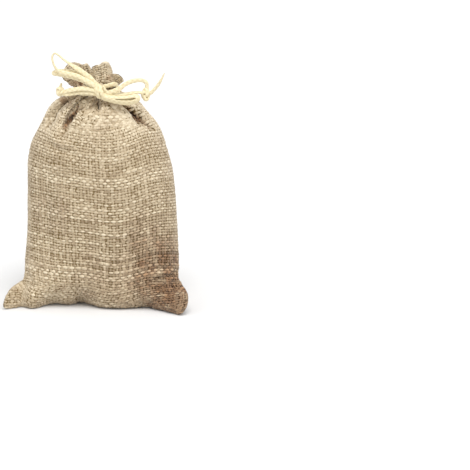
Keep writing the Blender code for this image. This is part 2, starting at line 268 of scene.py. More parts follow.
def spline(rows, step, closed=False):
    """Rows read at even steps along a smooth curve through their points, which
    are the first three columns."""
    rows = np.array(rows, float)
    n = len(rows)
    if closed:
        pad = np.concatenate([rows[-1:], rows, rows[:2]])
    else:
        pad = np.concatenate([2 * rows[:1] - rows[1:2], rows, 2 * rows[-1:] - rows[-2:-1]])
    out = []
    for i in range(len(pad) - 3):
        p0, p1, p2, p3 = pad[i : i + 4]
        d1, d2, d3 = (
            max(np.linalg.norm((b - a)[:3]), 1e-6) ** 0.5
            for a, b in ((p0, p1), (p1, p2), (p2, p3))
        )
        m1 = ((p2 - p1) / d2 - (p2 - p0) / (d1 + d2) + (p1 - p0) / d1) * d2
        m2 = ((p3 - p2) / d3 - (p3 - p1) / (d2 + d3) + (p2 - p1) / d2) * d2
        t = np.linspace(0, 1, 24, endpoint=False)[:, None]
        out.append(
            (2 * t**3 - 3 * t**2 + 1) * p1
            + (t**3 - 2 * t**2 + t) * m1
            + (3 * t**2 - 2 * t**3) * p2
            + (t**3 - t**2) * m2
        )
    out.append(pad[1:2] if closed else pad[-2:-1])
    curve = np.concatenate(out)
    run = np.concatenate([[0], np.cumsum(np.linalg.norm(np.diff(curve[:, :3], axis=0), axis=1))])
    at = np.linspace(0, run[-1], max(4, round(run[-1] / step)) + 1)
    return np.column_stack([np.interp(at, run, curve[:, k]) for k in range(curve.shape[1])]), run[-1]


AROUND = 18
PLIES, PLY_TURN = 3, 5.2  # plies braided each way, and the length of one of their turns


def cord_surface(rows, thick=1.05, closed=False, facing=None, twist=PLY_TURN):
    """Vertices, faces and map of a flat cord of soft plies along the rows."""
    line, long = spline(rows, 0.42, closed)
    if closed:
        line = line[:-1]
    p = line[:, :3]
    if closed:
        tangent = unit(np.roll(p, -1, axis=0) - np.roll(p, 1, axis=0))
    else:
        tangent = unit(np.gradient(p, axis=0))
    front = np.array([0.12, -0.96, 0.25])
    if facing is None:
        radial = unit(np.column_stack([p[:, 0] / 1.5, p[:, 1] - 1.0, np.zeros(len(p))]))
        share = np.clip((-p[:, 1] - 10.0) / 3.0, 0, 1)[:, None]
        out = unit(radial * (1 - share) + front * share)
    else:
        out = unit(facing(p))
    flat = unit(out - (out * tangent).sum(1, keepdims=True) * tangent)
    # Where the cord runs at the eye, the flat side keeps the way that it had.
    for i in range(1, len(flat)):
        if (flat[i] * flat[i - 1]).sum() < 0.5:
            kept = flat[i - 1] - (flat[i - 1] * tangent[i]).sum() * tangent[i]
            flat[i] = kept / max(np.linalg.norm(kept), 1e-9)
    side = np.cross(tangent, flat)
    turn = np.radians(line[:, 4])[:, None]
    face = flat * np.cos(turn) + side * np.sin(turn)
    edge = side * np.cos(turn) - flat * np.sin(turn)
    run = np.arange(len(p)) * (long / max(len(line) - (0 if closed else 1), 1))
    a = np.arange(AROUND) / AROUND * TAU
    ply = 1 + 0.07 * np.abs(np.cos(PLIES / 2 * a[None, :] + TAU * run[:, None] / twist))
    ply += 0.07 * np.abs(np.cos(PLIES / 2 * a[None, :] - TAU * run[:, None] / twist))
    uneven = 1 + 0.05 * np.sin(run / 3.1)[:, None] + 0.04 * np.sin(run / 1.3 + 1)[:, None]
    wide = line[:, 3:4] / 2 * np.sign(np.cos(a)) * np.abs(np.cos(a)) ** 0.8
    deep = thick / 2 * np.sin(a)[None, :] * np.clip(line[:, 3:4] / 2.0, 0.6, 1.1)
    size = (ply * uneven / 1.06)[..., None]
    verts = p[:, None] + (wide[..., None] * edge[:, None] + deep[..., None] * face[:, None]) * size
    if not closed:
        # Rounded ends.
        for end, way in ((0, 1), (-1, -1)):
            verts[end] = p[end] + (verts[end] - p[end]) * 0.55
    n = len(p)
    spans = n if closed else n - 1
    k, j = np.meshgrid(np.arange(spans), np.arange(AROUND), indexing="ij")
    k1, j1 = (k + 1) % n, (j + 1) % AROUND
    faces = np.stack([k * AROUND + j, k * AROUND + j1, k1 * AROUND + j1, k1 * AROUND + j], -1)
    step = long / spans
    u = np.stack([k, k, k + 1, k + 1], -1) * step
    w = np.stack([j, j + 1, j + 1, j], -1) / AROUND
    return verts.reshape(-1, 3), faces.reshape(-1, 4), np.stack([u, w], -1).reshape(-1, 4, 2), p, long


def cord_piece(name, parts):
    """One mesh of cord surfaces, with a strip each in the map, and a second map
    in millimetres along and turns round."""
    verts, faces, maps, base = [], [], [], 0
    longest = max(part[4] for part in parts)
    for i, (v, f, m, _, long) in enumerate(parts):
        verts.append(v)
        faces.append(f + base)
        maps.append((m, i, long))
        base += len(v)
    obj = make_mesh(name, np.concatenate(verts) * MM, np.concatenate(faces))
    bake, real = [], []
    for m, i, long in maps:
        bake.append(
            np.stack([0.01 + 0.98 * m[..., 0] / longest, (i + 0.04 + 0.92 * m[..., 1]) / len(maps)], -1)
        )
        real.append(np.stack([m[..., 0] + 300.0 * i, m[..., 1]], -1))
    for kind, uv in (("OFBake", bake), ("cord", real)):
        layer = obj.data.uv_layers.new(name=kind)
        layer.data.foreach_set("uv", np.concatenate(uv).astype(np.float32).ravel())
    return obj


def with_caps(part):
    """Closes both ends of an open cord with small fans of four-sided faces."""
    v, f, m, p, long = part
    n = len(v) // AROUND
    caps, maps = [], []
    for ring, flip in ((0, False), (n - 1, True)):
        for j in range(1, AROUND // 2):
            a, b = ring * AROUND + j, ring * AROUND + j + 1
            c, d = ring * AROUND + (AROUND - j - 1), ring * AROUND + (AROUND - j) % AROUND
            face = [a, b, c, d] if not flip else [d, c, b, a]
            if len(set(face)) == 4:
                caps.append(face)
                maps.append([[0.0 if ring == 0 else long, 0.5]] * 4)
    return v, np.concatenate([f, caps]), np.concatenate([m, maps]), p, long


def ring_rows(centre, size, lean, tip, width, count=14):
    """A wrap round a knot: an upright ring about the bundle, leaning and tipped."""
    rows = []
    for i in range(count):
        a = TAU * i / count
        y, z = -size[0] * math.cos(a), size[1] * math.sin(a)
        x = -lean * z / size[1] + tip * y / size[0]
        rows.append((centre[0] + x, centre[1] + y, centre[2] + z, width, 0.0))
    return rows


def knot_rows(centre, size, turn, width):
    """A tight overhand knot, with its two crossings to the front."""
    rows = []
    for i in range(36):
        a = TAU * i / 36
        x = (2 + math.cos(3 * a)) * math.cos(2 * a) / 3
        z = (2 + math.cos(3 * a)) * math.sin(2 * a) / 3
        y = math.sin(3 * a)
        c, s = math.cos(turn), math.sin(turn)
        rows.append(
            (
                centre[0] + size[0] * (c * x - s * z),
                centre[1] + size[1] * y,
                centre[2] + size[2] * (s * x + c * z),
                width,
                0.0,
            )
        )
    return rows


def away_from(centre):
    middle = np.array(centre)
    return lambda p: p - middle


cord_parts = {
    name: with_caps(cord_surface(rows))
    for name, rows in (
        ("cord_left_a", CORD_LEFT_A),
        ("cord_left_b", CORD_LEFT_B),
        ("cord_right_a", CORD_RIGHT_A),
        ("cord_right_b", CORD_RIGHT_B),
    )
}
cords = {name: cord_piece(name, [part]) for name, part in cord_parts.items()}
BOW = (1.2, -14.2, 114.2)
bow_wraps = cord_piece(
    "bow_wraps",
    [
        cord_surface(ring_rows((BOW[0] - 0.9, BOW[1], BOW[2] + 0.2), (2.7, 3.7), 1.0, 0.2, 2.3), 1.0, True, away_from(BOW)),
        cord_surface(ring_rows((BOW[0] + 1.2, BOW[1] - 0.1, BOW[2] - 0.3), (2.5, 3.5), 1.4, -0.2, 2.2), 1.0, True, away_from(BOW)),
    ],
)
LEFT_KNOT, RIGHT_KNOT = (-18.9, -14.5, 113.8), (24.8, -14.5, 112.7)
left_knot = cord_piece(
    "left_end_knot", [cord_surface(knot_rows(LEFT_KNOT, (1.5, 0.9, 2.0), 0.3, 2.1), 1.4, True, away_from(LEFT_KNOT))]
)
right_knot = cord_piece(
    "right_end_knot", [cord_surface(knot_rows(RIGHT_KNOT, (1.5, 1.0, 3.0), 1.2, 2.1), 1.4, True, away_from(RIGHT_KNOT))]
)
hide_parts("channel_run_left_a", "bow_loop_left_a", "free_end_left_a", "tail_left")
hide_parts("channel_run_left_b", "bow_loop_left_b", "free_end_left_b")
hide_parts("channel_run_right_b", "bow_loop_right_a", "free_end_right_a")
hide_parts("channel_run_right_a", "bow_loop_right_b", "free_end_right_b", "tail_right")
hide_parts("bow_knot")
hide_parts("end_knot_left")
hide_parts("end_knot_right")
for piece in list(cords.values()) + [bow_wraps, left_knot, right_knot]:
    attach(piece, "root")

# --------------------------------------------------------------------- tables
# The sack's own sections, in millimetres, as in its construction.
TIE_Z = 113.5
EAR_HALF_THICKNESS, EAR_SWELL, EAR_FORWARD = 1.4, 4.6, 25.4
RIGHT_EAR_AHEAD = 6.0
BODY = (
    # z, left, right, front, back, square
    (0.0, 37.5, 37.8, 16.0, 17.0, 2.5),
    (2.2, 39.2, 39.2, 19.4, 19.8, 2.4),
    (6.0, 39.6, 40.0, 21.6, 21.6, 2.3),
    (12.0, 39.4, 40.2, 22.8, 22.6, 2.2),
    (24.0, 39.7, 40.1, 23.6, 23.2, 2.15),
    (31.0, 39.2, 39.4, 24.2, 23.8, 2.1),
    (42.0, 38.4, 38.7, 24.8, 25.0, 2.1),
    (54.0, 38.4, 38.1, 25.2, 25.8, 2.1),
    (66.0, 38.3, 37.0, 25.2, 25.9, 2.1),
    (75.0, 37.7, 35.4, 24.6, 25.2, 2.1),
    (83.0, 36.1, 33.1, 23.4, 23.8, 2.1),
    (90.0, 32.8, 30.7, 21.8, 22.2, 2.1),
    (96.0, 30.0, 27.8, 19.8, 20.4, 2.1),
    (101.5, 27.2, 24.0, 17.2, 17.8, 2.1),
    (105.0, 24.4, 20.9, 15.6, 15.6, 2.0),
    (108.0, 20.0, 17.6, 13.5, 13.2, 2.0),
    (110.2, 15.4, 13.6, 11.0, 10.6, 2.0),
    (111.6, 12.8, 11.4, 9.1, 9.3, 2.0),
    (TIE_Z, 12.2, 10.8, 8.8, 9.0, 2.0),
)
EARS_LEFT = (
    # z, reach
    (0.0, 46.6),
    (1.0, 48.4),
    (2.2, 49.1),
    (3.8, 49.0),
    (6.5, 48.2),
    (8.9, 46.9),
    (10.5, 45.2),
    (11.8, 41.6),
    (12.8, 38.0),
    (15.0, 34.0),
    (22.0, 20.0),
    (34.0, 0.1),
)
EARS_RIGHT = (
    (0.0, 42.2),
    (1.5, 43.8),
    (3.9, 45.9),
    (6.2, 47.0),
    (8.0, 47.0),
    (9.4, 46.4),
    (10.8, 45.2),
    (12.0, 43.6),
    (12.8, 41.5),
    (14.0, 38.0),
    (17.0, 31.0),
    (24.0, 20.0),
    (36.0, 0.1),
)
FORWARD = (
    # z, share
    (0.0, 1.0),
    (8.0, 0.94),
    (16.0, 0.66),
    (26.0, 0.28),
    (40.0, 0.06),
    (60.0, 0.0),
)
# The frill's top edge, as it stands open: lobes from the right seam round by
# the back, the left and the front.
EDGE = (
    # x, y, z
    (11.2, 0.4, 116.6),
    (9.4, 2.6, 116.4),
    (5.2, 1.6, 117.4),
    (-0.4, 0.9, 117.4),
    (5.6, 4.4, 116.8),
    (9.6, 8.6, 115.6),
    (8.4, 12.6, 115.2),
    (3.8, 8.4, 116.4),
    (-0.9, 1.7, 117.0),
    (0.8, 9.6, 116.6),
    (-1.8, 14.4, 115.6),
    (-6.0, 12.4, 115.6),
    (-2.3, 1.9, 116.6),
    (-8.6, 10.0, 117.0),
    (-13.0, 13.0, 118.0),
    (-16.6, 8.8, 120.0),
    (-11.6, 3.8, 122.2),
    (-4.6, 1.0, 122.6),
    (-10.2, -0.4, 125.2),
    (-14.0, -2.4, 126.4),
    (-16.4, -3.8, 125.2),
    (-18.4, -5.4, 122.2),
    (-17.9, -8.4, 119.2),
    (-15.0, -10.0, 118.2),
    (-11.4, -9.4, 121.4),
    (-8.4, -8.4, 125.6),
    (-6.0, -8.0, 127.0),
    (-4.2, -6.2, 123.6),
    (-2.2, 0.2, 118.0),
    (-3.9, -4.0, 120.6),
    (-3.7, -6.4, 123.2),
    (-2.0, -7.8, 125.8),
    (1.2, -8.0, 126.6),
    (3.6, -7.4, 128.0),
    (5.6, -6.2, 126.0),
    (6.5, -3.4, 122.0),
    (6.0, -1.2, 119.6),
    (8.2, -5.2, 121.2),
    (10.4, -5.4, 120.6),
    (11.9, -4.4, 118.8),
    (11.9, -2.0, 117.0),
)

# The cloth as cut and sewn: a tube 200 mm round and 150 mm long.
ROUND, LONG = 200.0, 150.0
V_TIE = 134.5

# Folds that the cords gather. lean turns a fold under its neighbour.
FOLDS = (
    # at the tie, low angle, weight at the tie, weight low, low z, width at the tie, low width, lean
    (-152.0, -150.0, 1.90, 0.80, 91.0, 1.1, 4.6, 12.0),
    (-134.0, -141.0, 0.60, 0.50, 101.0, 1.0, 3.0, -18.0),
    (-115.0, -125.0, 2.10, 1.70, 91.0, 1.3, 2.2, 26.0),
    (-104.0, -109.0, 0.50, 0.50, 104.0, 1.0, 1.6, 0.0),
    (-92.0, -89.0, 2.20, 1.60, 102.5, 1.2, 1.7, 0.0),
    (-76.0, -72.0, 0.50, 0.50, 104.0, 1.0, 1.6, 0.0),
    (-50.0, -28.0, 2.20, 1.70, 93.0, 1.3, 2.2, 20.0),
    (-32.0, -14.0, 0.50, 0.40, 99.0, 1.0, 3.6, 10.0),
    (-12.0, -3.0, 2.00, 0.80, 93.0, 1.1, 4.6, -12.0),
    (10.0, 9.0, 0.50, 0.50, 96.0, 1.0, 4.0, 16.0),
    (34.0, 28.0, 2.10, 1.10, 88.0, 1.1, 3.6, -14.0),
    (56.0, 51.0, 0.50, 0.50, 96.0, 1.0, 4.0, 20.0),
    (77.0, 75.0, 2.20, 1.20, 85.0, 1.1, 3.6, -10.0),
    (100.0, 101.0, 0.50, 0.50, 97.0, 1.0, 4.0, 12.0),
    (123.0, 127.0, 2.10, 1.10, 87.0, 1.1, 3.6, -20.0),
    (146.0, 150.0, 0.50, 0.50, 95.0, 1.0, 4.0, 14.0),
    (170.0, 168.0, 2.00, 1.00, 90.0, 1.1, 4.6, -8.0),
)

# How far back the foot of the cloth's front stands from its plain outline.
FOOT = (
    # x, back
    (-49.0, 0.0),
    (-42.0, -1.0),
    (-35.4, -2.0),
    (-28.5, 5.0),
    (-24.5, 7.4),
    (-15.6, 4.4),
    (-10.5, 8.4),
    (-5.5, 4.0),
    (3.3, -1.6),
    (12.0, -0.8),
    (18.5, 1.6),
    (24.5, 4.6),
    (30.5, 1.4),
    (34.5, -1.6),
    (38.5, -6.0),
    (42.0, -9.0),
    (45.0, -7.5),
    (50.0, -3.0),
)

# Creases in the filled cloth, as troughs (negative) or ridges. u runs round
# from the right seam by the back, 150 being the front's middle, and v runs up.
CREASES = (
    # u and v at three points of it, width, depth
    ((149.0, 128.5), (151.0, 125.5), (152.0, 121.5), 1.3, -1.8),
    ((133.5, 124.0), (132.6, 117.0), (127.0, 108.0), 2.0, 1.1),
    ((188.6, 122.0), (189.4, 116.0), (194.0, 108.0), 2.0, 0.9),
    ((109.0, 124.5), (114.0, 123.2), (119.0, 122.6), 1.6, -0.9),
    ((156.0, 137.6), (166.0, 137.0), (177.0, 138.4), 0.9, 1.3),
    ((158.0, 135.4), (167.0, 135.0), (176.0, 135.8), 0.9, -0.9),
    ((199.0, 32.4), (190.0, 29.4), (176.0, 26.4), 1.3, -1.5),
    ((199.0, 35.0), (190.0, 32.0), (178.0, 29.0), 1.3, 0.8),
    ((198.5, 28.6), (190.0, 25.4), (180.0, 22.6), 1.8, 0.7),
    ((196.0, 22.0), (187.0, 16.0), (178.0, 14.0), 2.0, -0.5),
    ((102.0, 31.0), (106.0, 27.0), (112.0, 25.0), 1.6, -0.8),
    ((104.0, 17.0), (111.0, 21.0), (118.0, 27.0), 2.6, -0.4),
    ((122.5, 40.0), (123.0, 60.0), (122.5, 88.0), 2.8, -0.5),
    ((113.0, 40.0), (112.0, 60.0), (113.0, 88.0), 3.4, 0.4),
    ((120.0, 100.0), (122.5, 104.0), (126.0, 109.0), 2.0, 0.5),
    ((122.0, 104.0), (129.0, 101.6), (139.0, 101.8), 1.9, 0.9),
    ((124.0, 99.8), (131.0, 97.6), (141.0, 98.4), 1.7, -0.6),
    ((30.0, 30.0), (50.0, 26.0), (72.0, 31.0), 3.0, -0.5),
    ((20.0, 96.0), (44.0, 92.0), (74.0, 97.0), 3.0, -0.35),
)


# The hollows of the two deepest folds: u and v at three points, width, depth.
HOLLOWS = (
    ((139.8, 122.0), (137.4, 115.6), (129.4, 106.0), 1.7, 4.4),
    ((181.0, 123.0), (184.0, 116.0), (192.0, 106.0), 1.7, 4.2),
)


def smooth(rows, at, period=None):
    """Each column of a table read at `at`, without overshoot between rows."""
    rows = np.array(rows, float)
    if period:
        before, after = rows[-3:].copy(), rows[:3].copy()
        before[:, 0] -= period
        after[:, 0] += period
        rows = np.concatenate([before, rows, after])
    x, y = rows[:, 0], rows[:, 1:]
    h = np.diff(x)[:, None]
    slope = np.diff(y, axis=0) / h
    m = np.zeros_like(y)
    m[0], m[-1] = slope[0], slope[-1]
    both = slope[:-1] * slope[1:] > 0
    w1, w2 = 2 * h[1:] + h[:-1], h[1:] + 2 * h[:-1]
    mean = (w1 + w2) / (
        w1 / np.where(both, slope[:-1], 1) + w2 / np.where(both, slope[1:], 1)
    )
    m[1:-1] = np.where(both, mean, 0)
    at = np.atleast_1d(np.asarray(at, float))
    i = np.clip(np.searchsorted(x, at, side="right") - 1, 0, len(x) - 2)
    t = np.clip((at - x[i]) / h[i, 0], 0, 1)[:, None]
    return (
        y[i] * (1 + 2 * t) * (1 - t) ** 2
        + m[i] * h[i] * t * (1 - t) ** 2
        + y[i + 1] * t * t * (3 - 2 * t)
        + m[i + 1] * h[i] * t * t * (t - 1)
    )


def ease(t):
    t = np.clip(t, 0, 1)
    return t * t * (3 - 2 * t)


def waves(seed, points, length, count=10, dims=2):
    """Smooth, seeded unevenness of about the given wavelength, from -1 to 1."""
    rng = np.random.default_rng(seed)
    total = np.zeros(points.shape[:-1])
    for _ in range(count):
        way = rng.normal(size=dims)
        way *= TAU / length * rng.uniform(0.6, 1.5) / np.linalg.norm(way)
        total += np.sin(points @ way + rng.uniform(0, TAU))
    return total / math.sqrt(count / 2) / 1.6


# ---------------------------------------------------------------- the surface
DENSE = 1600  # samples round a section
ANGLE = np.arange(DENSE) * TAU / DENSE


SPREAD_STEPS = np.linspace(-1, 1, 25)
SPREAD_SHARE = np.exp(-((SPREAD_STEPS / 0.5) ** 2))


def outline(row, reach_left, reach_right, soft):
    """A section of the filled cloth before it is folded. soft, in millimetres,
    eases the belly into the flat ears."""
    left, right, front, back, square = row
    c, s = np.cos(ANGLE), np.sin(ANGLE)
    half = np.where(c >= 0, right, left)
    reach = np.where(c >= 0, reach_right, reach_left)
    x_all = (half**20 + reach**20) ** (1 / 20)
    x = x_all * c
    inside = np.zeros(DENSE)
    for step, share in zip(SPREAD_STEPS, SPREAD_SHARE):
        at = np.abs(np.abs(x) + step * soft) / half
        inside += share * np.clip(1 - at**square, 0, None) ** (1 / square)
    inside /= SPREAD_SHARE.sum()
    inside *= np.where(np.abs(c) > 0.999999, 0, 1) if soft < 0.5 else 1
    depth = np.where(s >= 0, back, front)
    inner = ease((1 - np.abs(c)) / 0.24)
    flap = EAR_HALF_THICKNESS + 1.2 * inner
    tip = np.sqrt(np.clip(1 - (x / x_all) ** 10, 0, None))
    flap = flap * np.clip(reach / half, 0, 1) ** 2
    y = np.where(s >= 0, 1.0, -1.0) * np.hypot(depth * inside, flap) * tip ** np.clip(reach / half, 0, 1)
    return x, y


def around_length(x, y):
    return np.hypot(np.diff(np.append(x, x[0])), np.diff(np.append(y, y[0])))


def folded(x, y, places, widths, leans, weights, most):
    """The section folded in so that the whole of the cloth goes round it."""
    run = np.concatenate([[0], np.cumsum(around_length(x, y))])
    total = run[-1]
    s = run[:-1]
    tx, ty = np.roll(x, -1) - np.roll(x, 1), np.roll(y, -1) - np.roll(y, 1)
    size = np.hypot(tx, ty)
    tx, ty = tx / size, ty / size
    nx, ny = ty, -tx  # outwards
    at = np.interp(np.mod(places, TAU), np.append(ANGLE, TAU), run)
    push_x, push_y = np.zeros(DENSE), np.zeros(DENSE)
    for place, width, lean, weight in zip(at, widths, leans, weights):
        if weight <= 0:
            continue
        apart = (s - place + total / 2) % total - total / 2
        near = weight * np.exp(-np.abs(apart / width) ** 1.7)
        push_x -= near * (nx * math.cos(lean) + tx * math.sin(lean))
        push_y -= near * (ny * math.cos(lean) + ty * math.sin(lean))
    low, high = 0.0, most
    if not push_x.any() or total >= ROUND:
        return x, y, 0.0
    for _ in range(22):
        middle = (low + high) / 2
        if around_length(x + middle * push_x, y + middle * push_y).sum() < ROUND:
            low = middle
        else:
            high = middle
    amount = (low + high) / 2
    return x + amount * push_x, y + amount * push_y, amount


def along(points, parents, count):
    """Resamples a closed section at even distances, from the right seam, which
    stays at u = 0, to the left one, which stays at half way."""
    step = np.linalg.norm(np.diff(np.vstack([points, points[:1]]), axis=0), axis=1)
    run = np.concatenate([[0], np.cumsum(step)])
    half = run[DENSE // 2]
    scaled = np.where(
        run <= half, run / half * 0.5, 0.5 + (run - half) / (run[-1] - half) * 0.5
    )
    at = np.arange(count) / count
    closed = np.vstack([points, points[:1]])
    out = np.column_stack([np.interp(at, scaled, closed[:, k]) for k in range(3)])
    return out, np.interp(at, scaled, np.append(parents, TAU))


fold = np.array(FOLDS)
NU, NV = 400, 300  # columns and rows of the cloth's grid


def right_of(row):
    return (row[0] + row[1]) / 2


def body_level(z):
    row = smooth(BODY, z)[0]
    reach_left = smooth(EARS_LEFT, z)[0, 0]
    reach_right = smooth(EARS_RIGHT, z)[0, 0]
    soft = 0.3 + 6.0 * (1 - ease((z - 9.0) / 22.0))
    x, y = outline(row, reach_left, reach_right, soft)
    share = np.clip((z - fold[:, 4]) / (TIE_Z - fold[:, 4]), 0, 1)
    places = np.radians(fold[:, 1] + (fold[:, 0] - fold[:, 1]) * share)
    widths = fold[:, 5] + (fold[:, 6] - fold[:, 5]) * (1 - share) ** 1.3
    weights = fold[:, 3] + (fold[:, 2] - fold[:, 3]) * share
    weights = weights * ease(np.minimum(share * 3, 1))
    most = 0.6 + 6.4 * ease((z - 84.0) / 17.0)
    fx, fy, _ = folded(x, y, places, widths, np.radians(fold[:, 7]), weights, most)
    # The folds' inner ends meet where the tie closes the neck.
    far = np.hypot(fx / right_of(row), (fy + 0.8) / row[2])
    drawn = np.clip(far, 0.02, 1) ** (1.3 * ease((z - 103.0) / 9.0))
    fx, fy = fx * drawn, (fy + 0.8) * drawn - 0.8
    forward = EAR_FORWARD * smooth(FORWARD, z)[0, 0]
    low = 1 - ease(z / 15.0)

    def stand(x, y):
        back = smooth(FOOT, x)[:, 0] * low * ease((6.0 - y) / 14.0)
        back -= RIGHT_EAR_AHEAD * low * ease((x - 34.0) / 9.0)
        return np.column_stack(
            [x, y - forward * (np.abs(x) / 49.0) ** 2.2 + back, np.full(DENSE, z)]
        )

    return stand(x, y), stand(fx, fy)


def build_surface():
    heights = np.concatenate(
        [
            [0.0, 0.5, 1.2, 2.2, 3.4, 5.0, 7.0],
            np.linspace(9.0, 78.0, 40),
            np.linspace(79.5, 100.0, 24),
            np.linspace(100.7, TIE_Z, 26),
        ]
    )
    levels = [body_level(z) for z in heights]
    plain = np.array([p for p, _ in levels])
    # How far up the smooth surface each angle has come at each level.
    step = np.linalg.norm(np.diff(plain, axis=0), axis=2)
    climbed = np.concatenate([np.zeros((1, DENSE)), np.cumsum(step, axis=0)])
    shaped, parents = [], []
    for _, points in levels:
        out, parent = along(points, ANGLE, NU)
        shaped.append(out)
        parents.append(parent)
    shaped, parents = np.array(shaped), np.array(parents)
    # The bottom fold, and the cloth on the surface between it and the outline.
    u = np.arange(NU) / NU
    across = np.where(u <= 0.5, 1 - 4 * u, 4 * u - 3)
    left, right = shaped[0, NU // 2], shaped[0, 0]
    fold_x = np.where(across >= 0, right[0] * across, -left[0] * across)
    corner = np.where(across >= 0, right[1], left[1])
    fold_y = -4.0 + (corner + 4.0) * np.abs(across) ** 2.2
    fold_y += 0.4 * smooth(FOOT, fold_x)[:, 0] * np.abs(across) ** 3 * (1 - np.abs(across) ** 6)
    bottom = np.column_stack([fold_x, fold_y, np.full(NU, 0.0)])
    under = 14
    base = [bottom + (shaped[0] - bottom) * t for t in np.linspace(0, 1, under)[:-1]]
    reach = np.linalg.norm(shaped[0] - bottom, axis=1)
    points = np.concatenate([np.array(base), shaped])
    v = np.zeros(points.shape[:2])
    for j in range(NU):
        up = np.array(
            [
                np.interp(parents[k, j], np.append(ANGLE, TAU), np.append(climbed[k], climbed[k, 0]))
                for k in range(len(shaped))
            ]
        )
        full = up[-1] + reach[j]
        v[under - 1 :, j] = (reach[j] + up) / full * V_TIE
        v[: under - 1, j] = np.linspace(0, reach[j] / full * V_TIE, under)[:-1]
    # The wefts even out between the wavy foot and the tie.
    ends = np.exp(-((np.arange(-40, 41) / 18.0) ** 2))
    even = sum(w * np.roll(v, step, axis=1) for step, w in zip(range(-40, 41), ends)) / ends.sum()
    v += (even - v) * ease((v - 6.0) / 16.0) * (1 - ease((v - 106.0) / 14.0))
    # The frill opens from the tie to its own edge.
    tie = shaped[-1]
    edge, long = spline(EDGE, 0.05, closed=True)
    print("frill edge", round(long, 1), "mm")
    at = np.arange(NU) / NU * (len(edge) - 1)
    edge = np.column_stack([np.interp(at, np.arange(len(edge)), edge[:, k]) for k in range(3)])
    frill = []
    for share in np.linspace(0, 1, 25)[1:]:
        open_ = share ** (0.75 - 0.25 * ease((-edge[:, :1] - 7.0) / 7.0))
        ring = tie + (edge - tie) * open_
        swell = 1.5 * math.sin(math.pi * min(1.0, share * 1.6)) ** 2
        ring[:, :2] += swell * unit(edge[:, :2]) * np.clip(-edge[:, 1:2] / 6, 0, 1)
        ring[:, 2] = tie[:, 2] + (edge[:, 2] - tie[:, 2]) * share
        frill.append(ring)
    points = np.concatenate([points, np.array(frill)])
    v = np.concatenate(
        [v, V_TIE + np.linspace(0, 1, 25)[1:, None] * np.full((1, NU), LONG - V_TIE)]
    )
    rows = np.arange(NV + 1) / NV * LONG
    grid = np.empty((NV + 1, NU, 3))
    for j in range(NU):
        order = np.maximum.accumulate(v[:, j] + np.arange(len(v)) * 1e-7)
        for k in range(3):
            grid[:, j, k] = np.interp(rows, order, points[:, j, k])
    return grid


grid = build_surface()
print("grid", grid.shape, grid.min(axis=(0, 1)), grid.max(axis=(0, 1)))


def settle(grid, rounds, pull=0.25, soften=0.06):
    """Evens out the threads' lengths, so the cloth is neither stretched nor
    squeezed much, and rounds its folds. The neck and the base hold."""
    p = grid.copy()
    du, dv = ROUND / NU, LONG / NV
    rows = np.arange(NV + 1) / NV * LONG
    hold = np.clip((rows - 4.0) / 6.0, 0, 1)[:, None, None]
    hold = hold * np.clip(np.abs(rows - V_TIE) / 3.0, 0.15, 1)[:, None, None]
    hold = hold * np.where(rows > V_TIE, 0.35, 1.0)[:, None, None]
    for _ in range(rounds):
        move = np.zeros_like(p)
        # round the sack
        edge = np.roll(p, -1, axis=1) - p
        size = np.linalg.norm(edge, axis=2, keepdims=True)
        fix = edge * (1 - du / np.maximum(size, 1e-6)) * pull
        move += fix - np.roll(fix, 1, axis=1)
        # up the sack
        edge = p[1:] - p[:-1]
        size = np.linalg.norm(edge, axis=2, keepdims=True)
        fix = edge * (1 - dv / np.maximum(size, 1e-6)) * pull
        move[:-1] += fix
        move[1:] -= fix
        # bending
        bend = (np.roll(p, -1, axis=1) + np.roll(p, 1, axis=1)) / 2 - p
        move += soften * bend
        bend = np.zeros_like(p)
        bend[1:-1] = (p[2:] + p[:-2]) / 2 - p[1:-1]
        move += soften * bend
        p += move * hold
    return p


def normals_of(p):
    """Outward unit normals of the grid, which is closed round and open up."""
    across = np.roll(p, -1, axis=1) - np.roll(p, 1, axis=1)
    up = np.empty_like(p)
    up[1:-1] = p[2:] - p[:-2]
    up[0], up[-1] = p[1] - p[0], p[-1] - p[-2]
    n = np.cross(across, up)
    return n / np.maximum(np.linalg.norm(n, axis=2, keepdims=True), 1e-9)


